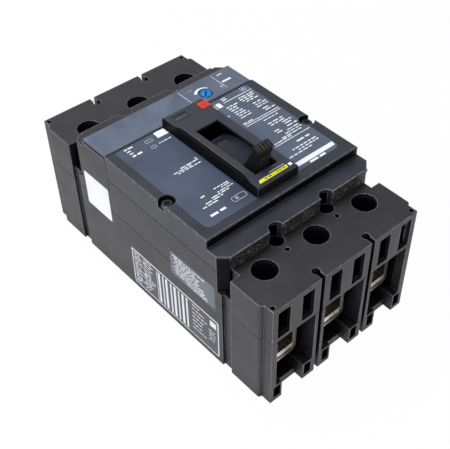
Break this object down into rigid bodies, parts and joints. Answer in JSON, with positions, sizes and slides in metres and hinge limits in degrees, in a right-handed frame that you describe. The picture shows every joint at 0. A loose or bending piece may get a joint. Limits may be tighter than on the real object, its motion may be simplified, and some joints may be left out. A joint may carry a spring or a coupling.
{
  "type": "molded case circuit breaker",
  "caption": "Black three-pole moulded case circuit breaker with a toggle, a push-to-trip button, an adjusting dial and box lugs behind windows at both ends.",
  "frame": {"origin": "centre of the flat mounting face", "axes": "+Z out of the operating face, -Y towards the line end (toggle ON), +Y towards the load end with the trip unit, X across the poles"},
  "size_m": [0.1046, 0.191, 0.1064],
  "materials": {
    "case_black": "matte moulded thermoset",
    "cover_slate": "satin moulded plastic",
    "plate_slate": "satin slate-grey plastic",
    "bezel_black": "satin black plastic",
    "toggle_black": "satin black plastic",
    "trip_red": "satin red plastic",
    "dial_blue": "satin blue plastic",
    "inner_plastic": "natural moulded thermoset",
    "insulating_board": "vulcanised fibre board",
    "tinned_lug": "tin plated",
    "silvered_copper": "silver plated",
    "copper": "bright copper",
    "contact_silver": "silver alloy",
    "zinc_steel": "zinc plated",
    "dark_screw": "blackened steel",
    "plate_steel": "plated sheet steel",
    "spring_steel": "drawn wire"
  },
  "bodies": {
    "case": {"base": "case_black", "main_cover": "case_black", "front_cover": "cover_slate", "bezel": "bezel_black", "trip_unit_case": "case_black", "trip_unit_plate": "plate_slate", "front_cover_screws": "dark_screw", "case_screws": "zinc_steel", "mechanism_plate_left": "plate_steel", "mechanism_plate_right": "plate_steel", "mechanism_pins": "zinc_steel", "cradle": "plate_steel", "main_springs": "spring_steel", "trip_button_spring": "spring_steel", "fixed_contact_tips": "contact_silver", "line_arc_plates": "plate_steel", "load_arc_plates": "plate_steel", "line_arc_boards": "insulating_board", "load_arc_boards": "insulating_board", "trip_unit_bolts": "zinc_steel", "load_contact_arms": "copper", "bimetals": "plate_steel", "magnet_yokes": "plate_steel", "pole_cassettes_left": "inner_plastic", "pole_cassettes_right": "inner_plastic", "line_lug_1": "tinned_lug", "load_lug_1": "tinned_lug", "line_terminal_bar_1": "silvered_copper", "heater_bar_1": "silvered_copper", "line_lug_2": "tinned_lug", "load_lug_2": "tinned_lug", "line_terminal_bar_2": "silvered_copper", "heater_bar_2": "silvered_copper", "line_lug_3": "tinned_lug", "load_lug_3": "tinned_lug", "line_terminal_bar_3": "silvered_copper", "heater_bar_3": "silvered_copper"},
    "toggle": {"toggle": "toggle_black", "toggle_arm": "plate_steel"},
    "crossbar": {"contact_rotor_1": "inner_plastic", "contact_rotor_2": "inner_plastic", "contact_rotor_3": "inner_plastic", "contact_bar_1": "copper", "contact_bar_2": "copper", "contact_bar_3": "copper", "crossbar_rods": "zinc_steel", "moving_contact_tips": "contact_silver"},
    "upper_links": {"upper_links": "plate_steel"},
    "lower_links": {"lower_links": "plate_steel"},
    "trip_button": {"trip_button": "trip_red"},
    "trip_bar": {"trip_bar": "inner_plastic", "armatures": "plate_steel"},
    "latch": {"latch": "plate_steel"},
    "adjusting_dial": {"adjusting_dial": "dial_blue"},
    "line_lug_screw_1": {"line_lug_screw_1": "zinc_steel"},
    "line_lug_screw_2": {"line_lug_screw_2": "zinc_steel"},
    "line_lug_screw_3": {"line_lug_screw_3": "zinc_steel"},
    "load_lug_screw_1": {"load_lug_screw_1": "zinc_steel"},
    "load_lug_screw_2": {"load_lug_screw_2": "zinc_steel"},
    "load_lug_screw_3": {"load_lug_screw_3": "zinc_steel"}
  },
  "joints": [
    {"name": "toggle_throw", "type": "hinge", "parent": "case", "child": "toggle", "pos_m": [0, -0.0135, 0.0475], "axis": [-1, 0, 0], "range_deg": [0, 42.6], "deforming": ["main_springs"]},
    {"name": "crossbar_turn", "type": "hinge", "parent": "case", "child": "crossbar", "pos_m": [0, -0.0135, 0.02955], "axis": [-1, 0, 0], "range_deg": [-1, 25]},
    {"name": "upper_links_turn", "type": "hinge", "parent": "case", "child": "upper_links", "pos_m": [0, -0.008, 0.063], "axis": [-1, 0, 0], "range_deg": [-46.48, 1]},
    {"name": "lower_links_turn", "type": "hinge", "parent": "crossbar", "child": "lower_links", "pos_m": [0, -0.01714, 0.04667], "axis": [-1, 0, 0], "range_deg": [-29.89, 1]},
    {"name": "trip_button_press", "type": "slide", "parent": "case", "child": "trip_button", "axis": [0, 0, -1], "range_m": [0, 0.0025], "stiffness_N_per_m": 300, "springref_m": -0.002, "deforming": ["trip_button_spring"]},
    {"name": "trip_bar_turn", "type": "hinge", "parent": "case", "child": "trip_bar", "pos_m": [0, 0.052, 0.062], "axis": [1, 0, 0], "range_deg": [-0.5, 6]},
    {"name": "latch_turn", "type": "hinge", "parent": "case", "child": "latch", "pos_m": [0, 0.024, 0.047], "axis": [-1, 0, 0], "range_deg": [-0.5, 6.5]},
    {"name": "dial_turn", "type": "hinge", "parent": "case", "child": "adjusting_dial", "pos_m": [0.0233, 0.0389, 0.0862], "axis": [0, 0, 1], "range_deg": [-110, 110]},
    {"name": "line_lug_screw_1_drive", "type": "slide", "parent": "case", "child": "line_lug_screw_1", "axis": [0, 0, -1], "range_m": [0, 0.006]},
    {"name": "line_lug_screw_2_drive", "type": "slide", "parent": "case", "child": "line_lug_screw_2", "axis": [0, 0, -1], "range_m": [0, 0.006]},
    {"name": "line_lug_screw_3_drive", "type": "slide", "parent": "case", "child": "line_lug_screw_3", "axis": [0, 0, -1], "range_m": [0, 0.006]},
    {"name": "load_lug_screw_1_drive", "type": "slide", "parent": "case", "child": "load_lug_screw_1", "axis": [0, 0, -1], "range_m": [0, 0.006]},
    {"name": "load_lug_screw_2_drive", "type": "slide", "parent": "case", "child": "load_lug_screw_2", "axis": [0, 0, -1], "range_m": [0, 0.006]},
    {"name": "load_lug_screw_3_drive", "type": "slide", "parent": "case", "child": "load_lug_screw_3", "axis": [0, 0, -1], "range_m": [0, 0.006]}
  ],
  "couplings": [
    {"joint": "crossbar_turn", "follows": "toggle_throw", "ratio": 0.5634},
    {"joint": "upper_links_turn", "follows": "toggle_throw", "ratio": -1.0675},
    {"joint": "lower_links_turn", "follows": "toggle_throw", "ratio": -0.6781},
    {"joint": "trip_bar_turn", "follows": "trip_button_press", "rad_per_m": 37.313},
    {"joint": "latch_turn", "follows": "trip_button_press", "rad_per_m": 41.9}
  ]
}
